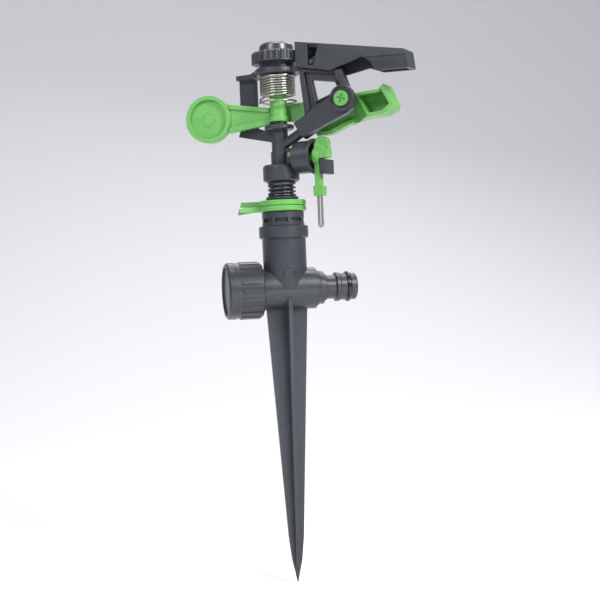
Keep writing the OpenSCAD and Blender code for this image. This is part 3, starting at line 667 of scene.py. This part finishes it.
def add_backdrop():
    """A floor just under the spike that curves up into a wall behind."""
    ground = CAD_LOW.z - 0.5 * MM
    half, front_y, wall_y, bend, height, steps = 3.5, -4.0, 2.0, 1.5, 3.0, 16
    bm = bmesh.new()
    edge = [bm.verts.new((-half, y, ground)) for y in (front_y, wall_y - bend)]
    for i in range(1, steps + 1):
        turn = math.pi / 2 * i / steps
        y = wall_y - bend + bend * math.sin(turn)
        z = ground + bend * (1 - math.cos(turn))
        edge.append(bm.verts.new((-half, y, z)))
    edge.append(bm.verts.new((-half, wall_y, ground + height)))
    strip = [bm.edges.new(pair) for pair in zip(edge, edge[1:])]
    grown = bmesh.ops.extrude_edge_only(bm, edges=strip)["geom"]
    far_side = [g for g in grown if isinstance(g, bmesh.types.BMVert)]
    bmesh.ops.translate(bm, vec=(2 * half, 0, 0), verts=far_side)
    bmesh.ops.recalc_face_normals(bm, faces=bm.faces)
    mesh = bpy.data.meshes.new("backdrop")
    bm.to_mesh(mesh)
    bm.free()
    smooth(mesh)
    backdrop = bpy.data.objects.new("backdrop", mesh)
    bpy.context.scene.collection.objects.link(backdrop)
    mesh.materials.append(material("studio_paper", matt_paper))


# Name, place and width and height in metres, watts, and colour of each soft box.
SOFT_BOXES = (
    ("key_light", (0.55, -0.8, 0.62), (0.3, 0.3), 15, (1.0, 0.99, 0.97)),
    ("left_light", (-0.75, -0.6, 0.7), (0.25, 0.25), 7, (0.97, 0.98, 1.0)),
    ("low_light", (-0.1, -0.8, -0.12), (0.9, 0.1), 1.0, (0.75, 0.9, 1.0)),
    ("back_light", (0.4, 1.0, 1.0), (0.6, 0.6), 4, (1, 1, 1)),
    ("top_light", (0.1, 0.2, 1.1), (0.5, 0.4), 5, (1, 1, 1)),
)


def add_lights():
    """Soft boxes aimed at the collars, and a dim, slightly blue surround."""
    heart = Vector((0, 0, 0.05))
    for name, place, size, watts, colour in SOFT_BOXES:
        data = bpy.data.lights.new(name, "AREA")
        data.shape = "RECTANGLE"
        data.size, data.size_y = size
        data.energy = watts
        data.color = colour
        made = bpy.data.objects.new(name, data)
        made.location = place
        made.rotation_euler = (heart - Vector(place)).to_track_quat("-Z", "Y").to_euler()
        bpy.context.scene.collection.objects.link(made)
    world = bpy.data.worlds.new("studio")
    world.use_nodes = True
    surround = world.node_tree.nodes["Background"]
    surround.inputs["Color"].default_value = (0.93, 0.95, 1.0, 1)
    surround.inputs["Strength"].default_value = 0.42
    bpy.context.scene.world = world


def add_camera():
    """Just above the tee, turned a little off its square view, and rolled a little."""
    azimuth = math.radians(-11.5)
    distance = 640 * MM
    eye_height = 27.6 * MM
    aim_right = 8.15 * MM
    aim_height = 6.2 * MM
    roll = math.radians(-2.35)
    lens, sensor, nearest = 63.84, 36, 10 * MM
    right = Vector((math.cos(azimuth), math.sin(azimuth), 0))
    back = Vector((math.sin(azimuth), -math.cos(azimuth), 0))
    eye = back * distance + Vector((0, 0, eye_height))
    aim = right * aim_right + Vector((0, 0, aim_height))
    data = bpy.data.cameras.new("camera")
    data.lens = lens
    data.sensor_width = sensor
    data.clip_start = nearest
    camera = bpy.data.objects.new("camera", data)
    turn = (aim - eye).to_track_quat("-Z", "Y").to_matrix() @ Matrix.Rotation(roll, 3, "Z")
    camera.matrix_world = Matrix.Translation(eye) @ turn.to_4x4()
    bpy.context.scene.collection.objects.link(camera)
    bpy.context.scene.camera = camera
    bpy.context.scene.view_settings.view_transform = "Standard"


class SPRINKLER_PT_panel(bpy.types.Panel):
    """Lists the steps that build the sprinkler"""

    bl_label = "Sprinkler"
    bl_space_type = "VIEW_3D"
    bl_region_type = "UI"
    bl_category = "Sprinkler"

    def draw(self, context):
        for owner in (context.scene.sprinkler_sizes, context.scene.sprinkler_colours):
            for name in owner.bl_rna.properties.keys():
                if name not in ("rna_type", "name"):
                    self.layout.prop(owner, name)
        for step in STEPS:
            self.layout.operator(step.bl_idname)


STEPS = (
    SPRINKLER_OT_mouldings,
    SPRINKLER_OT_springs,
    SPRINKLER_OT_trip_wire,
    SPRINKLER_OT_rings,
    SPRINKLER_OT_stage,
)
CLASSES = (SprinklerSizes, SprinklerColours, *STEPS, SPRINKLER_PT_panel)


def register():
    """Adds the classes and the two groups of settings."""
    for cls in CLASSES:
        bpy.utils.register_class(cls)
    bpy.types.Scene.sprinkler_sizes = bpy.props.PointerProperty(type=SprinklerSizes)
    bpy.types.Scene.sprinkler_colours = bpy.props.PointerProperty(type=SprinklerColours)


def unregister():
    """Takes away what register adds."""
    del bpy.types.Scene.sprinkler_sizes
    del bpy.types.Scene.sprinkler_colours
    for cls in reversed(CLASSES):
        bpy.utils.unregister_class(cls)


def main():
    """Builds everything in order."""
    register()
    for step in STEPS:
        family, action = step.bl_idname.split(".")
        getattr(getattr(bpy.ops, family), action)()


if __name__ == "__main__":
    main()
